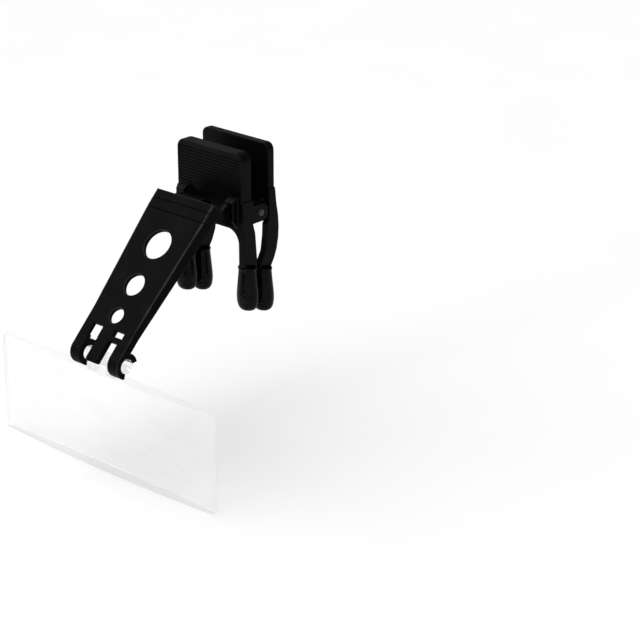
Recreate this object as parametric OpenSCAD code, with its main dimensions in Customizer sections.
// Clip-on flip-up magnifier for spectacles.
// A sprung clip grips the spectacle bridge between four soft tips.
// An arm hinged on the clip's front half carries a clear lens on a snap bar.
// Origin: centre of the grip, midway between the front and back tips.
// +Z is up, the lens side faces -Y, and X runs across the face. Millimetres.

/* [Lens] */
// Lens width across the face
lens_w = 82; // [60:1:100]
// Lens height
lens_h = 28; // [20:1:36]
// Lens thickness at its two ends
lens_edge_t = 1.6; // [1.2:0.1:2.6]
// Radius of the lens's front surface
lens_front_r = 610; // [300:10:1200]
// Radius of the lens's back surface
lens_back_r = 900; // [400:10:2000]
// Radius of the lens's four corners
lens_corner_r = 0.8; // [0.4:0.1:5]
// Drop from the snap bar's centre to the lens's top edge
lens_drop = 4; // [4:0.1:7]
// Diameter of the clear snap bar
bar_d = 3.9; // [3:0.1:4.4]
// Width of each lug that joins the lens to its bar
lug_w = 2.8; // [2:0.1:3]
// Thickness of each lug, front to back
lug_t = 2.6; // [1.8:0.1:3]

/* [Arm] */
// Distance from the arm's hinge pin to the snap bar, along the arm
arm_reach = 46.7; // [42:0.5:60]
// Slope of the arm below the horizontal
arm_slope = 46; // [35:1:55]
// Width of the arm at the hinge
arm_w = 21.8; // [20:0.2:24]
// Width of the arm at its lower end
arm_end_w = 18.4; // [17.6:0.2:20]
// Thickness of the arm's top skin
arm_skin = 1.2; // [1:0.1:1.6]
// Thickness of the arm's side walls
arm_wall = 1.4; // [1:0.1:1.7]
// Depth of the side walls at the hinge
arm_depth = 3.6; // [2.8:0.1:4]
// Depth of the side walls where the windows start
arm_end_depth = 2.5; // [2:0.1:3.4]
// Height of the arm's top face above its hinge pin
arm_rise = 4; // [3.9:0.1:5]
// How far the hood reaches back past the hinge pin
hood_back = 1.4; // [0.8:0.1:1.5]
// Diameter of the upper hole
hole_1_d = 8.6; // [5:0.1:11]
// Diameter of the middle hole
hole_2_d = 6.4; // [4:0.1:9]
// Diameter of the lower hole
hole_3_d = 4.5; // [3:0.1:6]
// Upper hole's distance from the hinge pin
hole_1_at = 13.6; // [12:0.1:16]
// Middle hole's distance from the hinge pin
hole_2_at = 26.1; // [22:0.1:27]
// Lower hole's distance from the hinge pin
hole_3_at = 35.6; // [32:0.1:36]
// First groove's distance from the hinge pin
groove_1_at = 1.2; // [0.5:0.1:2]
// Second groove's distance from the hinge pin
groove_2_at = 4.2; // [3:0.1:6]
// Width and depth of the two grooves
groove_w = 0.35; // [0.2:0.05:0.6]
// Wall of the snap hooks around the bar
hook_wall = 1.6; // [1.2:0.1:1.7]
// Width of the middle tongue
tongue_w = 4.2; // [3:0.2:5]
// Thickness of the middle tongue
tongue_t = 1.5; // [1:0.1:1.5]
// Gap for each lens lug, beside the tongue
lug_gap = 3.4; // [3.2:0.1:3.8]
// Width of the two windows above the cross bars
window_w = 3.9; // [2:0.1:4.6]
// Length of the two windows above the cross bars
window_l = 1.7; // [1:0.1:2.2]
// Thickness of the cross bar under the right window
cross_t = 1.6; // [1:0.1:2]
// Running clearance of the bar in its hooks
bar_clear = 0.05; // [0.02:0.01:0.1]

/* [Hinge] */
// Diameter of the arm's hinge pin
hinge_pin_d = 2; // [1.5:0.1:2.4]
// Hinge pin's distance in front of the plate
hinge_out = 7.1; // [6.4:0.1:9]
// Hinge pin's height above the grip
hinge_up = 22.3; // [21:0.1:25]
// Radius of the arm's middle knuckle
knuckle_r = 3.6; // [3:0.1:3.8]
// Width of the middle knuckle
knuckle_w = 9.4; // [6:0.2:12]
// Radius of the slimmer hub beside the knuckle
hub_r = 2.1; // [1.8:0.1:2.4]
// Radius of each ear's round end
ear_r = 2.3; // [2:0.1:2.4]
// Thickness of each ear
ear_t = 1.4; // [1:0.1:1.8]
// Running clearance of each pin in its moving hub
pin_clear = 0.05; // [0.02:0.01:0.1]
// Gap kept between parts that slide past each other
side_gap = 0.35; // [0.3:0.05:0.6]

/* [Clip] */
// Width of the two finger plates
plate_w = 24.7; // [22:0.1:28]
// Height of the front plate's top above the grip
plate_top = 38; // [36:0.5:46]
// Thickness of the front plate
plate_t = 3.8; // [3:0.1:4.4]
// Corner radius of the finger plates
plate_r = 2.6; // [1:0.1:5]
// Height of the arch's crown above the grip
arch_up = 16.6; // [14:0.1:17]
// Corner radius of the arch
arch_r = 4; // [2:0.1:6]
// Extra height of the back plate over the front plate
back_extra = 1; // [0:0.1:4]
// Thickness of the back plate
back_t = 2.4; // [2:0.1:3]
// Gap between the two finger plates
plate_gap = 6.1; // [5.6:0.1:8]
// Number of grip grooves on each plate
rib_count = 12; // [4:1:14]
// Spacing of the grip grooves
rib_pitch = 0.86; // [0.7:0.01:1]
// Depth of the grip grooves
rib_depth = 0.25; // [0.1:0.05:0.4]
// Height of the clip's pivot above the grip
pivot_up = 20.6; // [20:0.1:24]
// Diameter of the clip's pivot pin
pivot_d = 2; // [1.5:0.1:2.4]
// Radius of the pivot lugs
pivot_lug_r = 2.5; // [2:0.1:2.6]
// Thickness of each pivot lug
pivot_lug_t = 1.5; // [1:0.1:2]

/* [Legs and tips] */
// Width of each jaw leg
leg_w = 2; // [1.6:0.1:2.6]
// Depth of each front leg, front to back
leg_d = 5; // [4:0.1:5.2]
// Distance between the two legs of one half, outside to outside
leg_span = 25.8; // [24:0.1:30]
// Half the depth of a rubber tip
tip_r = 2.8; // [2.5:0.05:3.2]
// Extra width of a rubber tip, sideways
tip_flat = 1; // [0:0.1:2]
// Length of a rubber tip
tip_l = 12.6; // [8:0.2:16]
// Length of the round end of a tip, where its stub stops
tip_taper = 4.4; // [3:0.1:6]
// Radius of the tip's round end
tip_end_r = 2.5; // [1.5:0.1:2.6]
// Gap between the closed tips
jaw_gap = 0.3; // [0.2:0.1:3]
// How much lower the back tips sit than the front ones
back_drop = 1.6; // [0:0.1:2.5]
// Depth of the stub inside a rubber tip
stub_d = 3.8; // [3:0.1:4.2]

/* [Spring] */
// Wire diameter of the torsion spring
wire_d = 0.8; // [0.5:0.1:1]
// Mean radius of the spring's coil
coil_r = 2.2; // [1.8:0.1:2.4]
// Number of turns
coil_turns = 6; // [3:1:8]
// Length of the spring's two legs
spring_leg = 11; // [8:0.5:13]

/* [Build] */
// Node to draw

/* [Hidden] */
$fn = 96;
eps = 0.02;
big = 60;

tip_y = jaw_gap / 2 + tip_r;
front_y = -tip_y - leg_d / 2 + 0.3;
plate_back_y = front_y + plate_t;
back_face_y = plate_back_y + plate_gap;
back_rear_y = back_face_y + back_t;
back_top = plate_top + back_extra;
leg_x = (leg_span - leg_w) / 2;
pivot_y = plate_back_y + plate_gap / 2;

hinge_y = front_y - hinge_out;
ear_out = arm_w / 2 - arm_wall - side_gap;
ear_in = ear_out - ear_t;
hook_in = tongue_w / 2 + lug_gap;
hook_out = arm_end_w / 2;
hook_r = bar_d / 2 + bar_clear;
hook_outer = hook_r + hook_wall;
bar_n = arm_rise - hook_outer;
window_at = arm_reach - hook_outer - window_l - cross_t - 0.3;
window_x = tongue_w / 2 + 0.1;
leg_foot = tip_l / 2 - 0.3;
bar_y = hinge_y - arm_reach * cos(arm_slope) - bar_n * sin(arm_slope);
bar_z = hinge_up - arm_reach * sin(arm_slope) + bar_n * cos(arm_slope);
lens_top = bar_z - lens_drop;

front_sag = sag(lens_front_r, lens_w / 2);
back_sag = sag(lens_back_r, lens_w / 2);
lens_rings = 24;

rib_top = plate_top - 1.6;
stub_w = leg_w - 0.2;
tip_neck = 0.25;
turn_pitch = wire_d * 0.95;

// ---------- helpers ----------

// Extrudes a side profile, drawn as (Y, Z), along X from x0 to x1.
module along_x(x0, x1) {
    translate([x0, 0, 0])
        rotate([90, 0, 90])
            linear_extrude(x1 - x0)
                children();
}

// The same, on both sides of the middle.
module both_sides(x0, x1) {
    along_x(x0, x1)
        children();
    along_x(-x1, -x0)
        children();
}

// Extrudes a front profile, drawn as (X, Z), along Y from y0 to y1.
module along_y(y0, y1) {
    translate([0, y1, 0])
        rotate([90, 0, 0])
            linear_extrude(y1 - y0)
                children();
}

// Puts children in the arm's own frame: origin on the hinge pin,
// -Y down the arm, +Z out of the arm's top face.
module arm_frame() {
    translate([0, hinge_y, hinge_up])
        rotate([arm_slope, 0, 0])
            children();
}

// Plate outline with two rounded top corners, drawn as (X, Z).
module plate_outline(w, z0, z1, r) {
    translate([-w / 2, z0])
        square([w, z1 - z0 - r]);
    translate([-w / 2 + r, z1 - r - eps])
        square([w - 2 * r, r + eps]);
    for (side = [-1, 1])
        translate([side * (w / 2 - r), z1 - r])
            circle(r);
}

// Grip grooves across a finger plate, at the face y.
module grip_grooves(y) {
    for (i = [0 : rib_count - 1])
        translate([-plate_w / 2 + 0.7, y - rib_depth, rib_top - i * rib_pitch - rib_pitch / 2])
            cube([plate_w - 1.4, 2 * rib_depth, rib_pitch / 2]);
}

// ---------- front half ----------

// Profile of an ear's round end and web, drawn as (Y, Z).
module ear_profile() {
    translate([hinge_y, hinge_up])
        circle(ear_r);
    polygon([
        [hinge_y, hinge_up - ear_r],
        [hinge_y + ear_r * 0.98, hinge_up + ear_r * 0.15],
        [hinge_y + 3.4, hinge_up + 0.7],
        [front_y - 2.4, hinge_up + 1.7],
        [front_y + eps, hinge_up + 3.3],
        [front_y + eps, hinge_up - 5.2],
        [hinge_y + ear_r, hinge_up - ear_r * 1.35]
    ]);
}

// Profile of the thicker root of an ear, drawn as (Y, Z).
module ear_root_profile() {
    polygon([
        [front_y + eps, hinge_up + 4],
        [front_y - 2.1, hinge_up + 2.4],
        [front_y - 2.1, hinge_up - 2.6],
        [front_y + eps, hinge_up - 5]
    ]);
}

// Side profile of a front leg, which deepens towards its tip. (Y, Z)
module front_leg_profile() {
    polygon([
        [front_y, leg_foot],
        [front_y, pivot_up + 4.2],
        [plate_back_y, pivot_up + 4.2],
        [plate_back_y, pivot_up - 2.2],
        [front_y + (plate_t + leg_d) / 2, pivot_up - 5],
        [front_y + leg_d, pivot_up - 12.5],
        [front_y + leg_d, leg_foot]
    ]);
}

module front_half() {
    color([0.09, 0.09, 0.1])
    difference() {
        union() {
            // Finger plate and its wider foot, down to the arch.
            along_y(front_y, plate_back_y)
                plate_outline(plate_w, arch_up, plate_top, plate_r);
            intersection() {
                along_y(front_y, front_y + leg_d)
                    difference() {
                        translate([-leg_span / 2, leg_foot])
                            square([leg_span, pivot_up + 4.2 - leg_foot]);
                        arch_outline();
                    }
                along_x(-leg_span / 2, leg_span / 2)
                    front_leg_profile();
            }
            // Stubs inside the rubber tips.
            for (side = [-1, 1])
                stub(side * leg_x, -tip_y, 0);
            // Hinge ears.
            both_sides(ear_in, ear_out)
                ear_profile();
            both_sides(ear_in, arm_w / 2 - 0.1)
                ear_root_profile();
            // Pivot lugs, outside the back half's lugs.
            both_sides(leg_span / 2 - pivot_lug_t, leg_span / 2)
                pivot_lug_profile(plate_back_y - eps);
        }
        grip_grooves(front_y);
        // Hinge pin and pivot pin holes.
        along_x(-big, big)
            translate([hinge_y, hinge_up])
                circle(d = hinge_pin_d);
        along_x(-big, big)
            translate([pivot_y, pivot_up])
                circle(d = pivot_d);
    }
}

// The arch between the two legs, drawn as (X, Z).
module arch_outline() {
    w = leg_span - 2 * leg_w;
    translate([-w / 2, -1])
        square([w, arch_up + 1 - arch_r]);
    translate([-w / 2 + arch_r, arch_up - arch_r - eps])
        square([w - 2 * arch_r, arch_r + eps]);
    for (side = [-1, 1])
        translate([side * (w / 2 - arch_r), arch_up - arch_r])
            circle(arch_r);
}

// A pivot lug that reaches from y0 to the pivot, drawn as (Y, Z).
module pivot_lug_profile(y0) {
    translate([pivot_y, pivot_up])
        circle(pivot_lug_r);
    translate([min(y0, pivot_y), pivot_up - pivot_lug_r])
        square([abs(pivot_y - y0), 2 * pivot_lug_r]);
}

// The stub that holds a rubber tip, centred at height z.
module stub(x, y, z) {
    translate([x - stub_w / 2, y - stub_d / 2, z - tip_l / 2 + tip_taper])
        cube([stub_w, stub_d, tip_l - tip_taper + eps]);
}

// ---------- back half ----------

// Side profile of a back leg: bowed backward, then in to its tip. (Y, Z)
module back_leg_profile() {
    b = back_rear_y;
    f = tip_y;
    foot = leg_foot - back_drop;
    polygon([
        [back_face_y, pivot_up + 6],
        [b, pivot_up + 6],
        [b + 0.45, pivot_up + 1.5],
        [b + 1.1, pivot_up - 2.2],
        [b + 1.3, pivot_up - 5.2],
        [b + 1.1, pivot_up - 8.6],
        [b + 0.4, pivot_up - 11.8],
        [b - 0.6, foot + 2],
        [f + stub_d / 2 + 0.5, foot],
        [f - stub_d / 2 - 0.2, foot],
        [f - stub_d / 2 + 0.2, foot + 1.7],
        [f - 0.9, pivot_up - 13.2],
        [f + 0.1, pivot_up - 11.4],
        [f + 0.75, pivot_up - 7.2],
        [f + 0.9, pivot_up - pivot_lug_r - 1.4],
        [back_face_y, pivot_up - pivot_lug_r]
    ]);
}

module back_half() {
    w_in = leg_span / 2 - pivot_lug_t - side_gap;
    color([0.09, 0.09, 0.1])
    difference() {
        union() {
            along_y(back_face_y, back_rear_y)
                plate_outline(plate_w + 0.5, pivot_up - 3.4, back_top, plate_r - 0.6);
            // The two bowed legs.
            both_sides(leg_x - leg_w / 2, leg_x + leg_w / 2)
                back_leg_profile();
            for (side = [-1, 1])
                stub(side * leg_x, tip_y, -back_drop);
            // Pivot lugs, inside the front half's lugs.
            both_sides(w_in - pivot_lug_t, w_in)
                pivot_lug_profile(back_face_y + eps);
        }
        grip_grooves(back_rear_y);
        along_x(-big, big)
            translate([pivot_y, pivot_up])
                circle(d = pivot_d + 2 * pin_clear);
    }
}

// ---------- pins and spring ----------

// A steel pin along X with slightly rounded ends.
module cross_pin(len, d, y, z) {
    translate([-len / 2, y, z])
        rotate([90, 0, 90]) {
            translate([0, 0, 0.25])
                cylinder(h = len - 0.5, d = d);
            cylinder(h = 0.25, d1 = d - 0.5, d2 = d);
            translate([0, 0, len - 0.25])
                cylinder(h = 0.25, d1 = d, d2 = d - 0.5);
        }
}

module pivot_pin() {
    color([0.75, 0.75, 0.78])
        cross_pin(leg_span + 0.5, pivot_d, pivot_y, pivot_up);
}

module hinge_pin() {
    color([0.75, 0.75, 0.78])
        cross_pin(2 * ear_out + 0.4, hinge_pin_d, hinge_y, hinge_up);
}

// Torsion spring: closed turns side by side, with one leg against each plate.
module torsion_spring() {
    w = coil_turns * turn_pitch;
    color([0.7, 0.7, 0.72])
    union() {
        translate([-w / 2, pivot_y, pivot_up])
            rotate([0, 90, 0])
                rotate_extrude()
                    for (i = [0 : coil_turns - 1])
                        translate([coil_r, (i + 0.5) * turn_pitch])
                            circle(d = wire_d);
        spring_leg_at(-w / 2 + turn_pitch / 2, -1);
        spring_leg_at(w / 2 - turn_pitch / 2, 1);
    }
}

// One straight spring leg, up the inside of a plate.
module spring_leg_at(x, side) {
    translate([x, pivot_y + side * coil_r, pivot_up - 0.2])
        cylinder(h = spring_leg, d = wire_d * 0.9);
}

// ---------- rubber tips ----------

// Half profile of a tip, drawn as (radius, height): round below, slimmer at its mouth.
module tip_profile() {
    h = tip_l / 2;
    intersection() {
        union() {
            translate([0, -h + tip_end_r])
                circle(tip_end_r);
            polygon([
                [0, -h + tip_end_r],
                [tip_end_r, -h + tip_end_r],
                [tip_r, -h + tip_taper + 0.6],
                [tip_r, -h + tip_taper + 3],
                [tip_r - tip_neck, h - 1.2],
                [tip_r - tip_neck, h],
                [0, h]
            ]);
        }
        translate([0, -h])
            square([tip_r * 2, tip_l]);
    }
}

module rubber_tip(x, y, z) {
    color([0.05, 0.05, 0.05])
    difference() {
        translate([x, y, z]) {
            for (side = [-1, 1])
                translate([side * tip_flat / 2, 0, 0])
                    rotate_extrude()
                        tip_profile();
            along_x(-tip_flat / 2, tip_flat / 2) {
                tip_profile();
                mirror([1, 0])
                    tip_profile();
            }
        }
        stub(x, y, z);
        translate([x - leg_w / 2 - 0.05, y - leg_d / 2 - 0.5, z + leg_foot])
            cube([leg_w + 0.1, leg_d + 1, 1]);
    }
}

module tip_front_left() {
    rubber_tip(-leg_x, -tip_y, 0);
}

module tip_front_right() {
    rubber_tip(leg_x, -tip_y, 0);
}

module tip_back_left() {
    rubber_tip(-leg_x, tip_y, -back_drop);
}

module tip_back_right() {
    rubber_tip(leg_x, tip_y, -back_drop);
}

// ---------- arm ----------

// Plan of the arm, drawn as (X, Y) in the arm's frame, narrowed by m a side.
module arm_plan(m) {
    a = arm_w / 2 - m;
    b = arm_end_w / 2 - m;
    polygon([
        [-a, hood_back],
        [a, hood_back],
        [a, -groove_2_at],
        [b, -window_at + 1],
        [b, -arm_reach],
        [-b, -arm_reach],
        [-b, -window_at + 1],
        [-a, -groove_2_at]
    ]);
}

// Ring around the snap bar, drawn as (Y, Z) in the arm's frame.
module hook_ring() {
    translate([-arm_reach, bar_n])
        circle(hook_outer);
}

// Mouth of the snap hooks, towards the arm's underside. (Y, Z)
module hook_mouth() {
    translate([-arm_reach, bar_n])
        polygon([
            [0, 0],
            [2.6, -2.1],
            [3.4, -6],
            [-4.4, -6],
            [-3.9, -2]
        ]);
}

// Side profile of the tongue, with its round nose over the bar. (Y, Z)
module tongue_profile() {
    nose = arm_reach + hook_outer - tongue_t;
    translate([-nose, arm_rise - tongue_t])
        square([nose - window_at, tongue_t]);
    translate([-nose, arm_rise - tongue_t / 2])
        circle(tongue_t / 2);
}

module lens_arm() {
    color([0.1, 0.1, 0.11])
    arm_frame()
    difference() {
        union() {
            difference() {
                // Skin and side walls.
                translate([0, 0, arm_rise - arm_depth])
                    linear_extrude(arm_depth)
                        arm_plan(0);
                translate([0, 0, arm_rise - arm_depth - 1])
                    linear_extrude(arm_depth + 1 - arm_skin)
                        difference() {
                            arm_plan(arm_wall);
                            translate([-big / 2, -arm_reach - 5])
                                square([big, 5]);
                        }
                // The rear end of the pocket is open.
                translate([-arm_w / 2 + arm_wall, 0, arm_rise - arm_depth - 1])
                    cube([arm_w - 2 * arm_wall, hood_back + 1, arm_depth + 1 - arm_skin]);
                // The walls get shallower down the arm.
                along_x(-big, big)
                    polygon([
                        [-groove_2_at, arm_rise - arm_depth],
                        [-window_at, arm_rise - arm_end_depth],
                        [-arm_reach - 10, arm_rise - arm_end_depth],
                        [-arm_reach - 10, -big],
                        [-groove_2_at, -big]
                    ]);
                // Holes.
                arm_hole(hole_1_at, hole_1_d);
                arm_hole(hole_2_at, hole_2_d);
                arm_hole(hole_3_at, hole_3_d);
                // Windows, and below them the gaps for the lens's lugs.
                for (side = [-1, 1]) {
                    translate([side * (window_x + window_w / 2) - window_w / 2, -window_at - window_l, 0])
                        cube([window_w, window_l, big / 4]);
                    translate([side * (hook_in - lug_gap / 2) - lug_gap / 2, -arm_reach - 10, -big / 4])
                        cube([lug_gap, 10 + hook_outer + 0.3, big / 2]);
                }
                // Only the right window has a cross bar under it.
                translate([-window_x - window_w, -window_at - window_l - cross_t - eps, 0])
                    cube([window_w, cross_t + 2 * eps, big / 4]);
                // Grooves across the hood.
                for (at = [groove_1_at, groove_2_at])
                    translate([-big / 2, -at - groove_w / 2, arm_rise - groove_w])
                        cube([big, groove_w, big]);
            }
            // Snap hooks and the tongue's end.
            both_sides(hook_in, hook_out)
                hook_ring();
            along_x(-tongue_w / 2, tongue_w / 2)
                tongue_profile();
            // Knuckle and hub on the hinge pin.
            along_x(-knuckle_w / 2, knuckle_w / 2)
                circle(knuckle_r);
            along_x(-ear_in + side_gap, ear_in - side_gap)
                circle(hub_r);
        }
        // The hinge pin's running bore.
        along_x(-big, big)
            circle(d = hinge_pin_d + 2 * pin_clear);
        // The bar's seat and the mouth it snaps in through.
        along_x(-big, big)
            translate([-arm_reach, bar_n])
                circle(hook_r);
        both_sides(hook_in - eps, big)
            hook_mouth();
    }
}

module arm_hole(at, d) {
    translate([0, -at, 0])
        cylinder(h = big, d = d);
}

// ---------- lens ----------

// Lens outline with rounded corners, drawn as (X, Z).
module lens_outline() {
    x = lens_w / 2 - lens_corner_r;
    z0 = lens_top - lens_h;
    translate([-lens_w / 2, z0 + lens_corner_r])
        square([lens_w, lens_h - 2 * lens_corner_r]);
    translate([-x, z0])
        square([2 * x, lens_h]);
    for (side = [-1, 1])
        for (z = [z0 + lens_corner_r, lens_top - lens_corner_r])
            translate([side * x, z])
                circle(lens_corner_r);
}

// Depth that a spherical face of radius r has lost at distance d from its axis.
function sag(r, d) = r - sqrt(r * r - d * d);

// Half section of the lens blank, drawn as (radius, depth).
module lens_section() {
    reach = norm([lens_w, lens_h]) / 2 + 0.4;
    step = reach / lens_rings;
    front = -lens_edge_t / 2 - front_sag;
    back = lens_edge_t / 2 + back_sag;
    polygon(concat(
        [for (i = [0 : lens_rings]) [i * step, front + sag(lens_front_r, i * step)]],
        [for (i = [lens_rings : -1 : 0]) [i * step, back - sag(lens_back_r, i * step)]]
    ));
}

module lens() {
    mid_z = lens_top - lens_h / 2;
    color([0.85, 0.9, 0.92, 0.4])
    union() {
        intersection() {
            along_y(bar_y - 10, bar_y + 10)
                lens_outline();
            translate([0, bar_y, mid_z])
                rotate([-90, 0, 0])
                    rotate_extrude()
                        lens_section();
        }
        // Snap bar.
        translate([-hook_out, bar_y, bar_z])
            rotate([0, 90, 0])
                cylinder(h = 2 * hook_out, d = bar_d);
        // Two lugs.
        for (side = [-1, 1])
            translate([side * (hook_in - lug_gap / 2) - lug_w / 2, bar_y - lug_t / 2, lens_top - 1])
                cube([lug_w, lug_t, bar_z - lens_top + 1]);
    }
}

// ---------- drawing ----------

front_half();
back_half();
pivot_pin();
torsion_spring();
tip_front_left();
tip_front_right();
tip_back_left();
tip_back_right();
lens_arm();
hinge_pin();
lens();
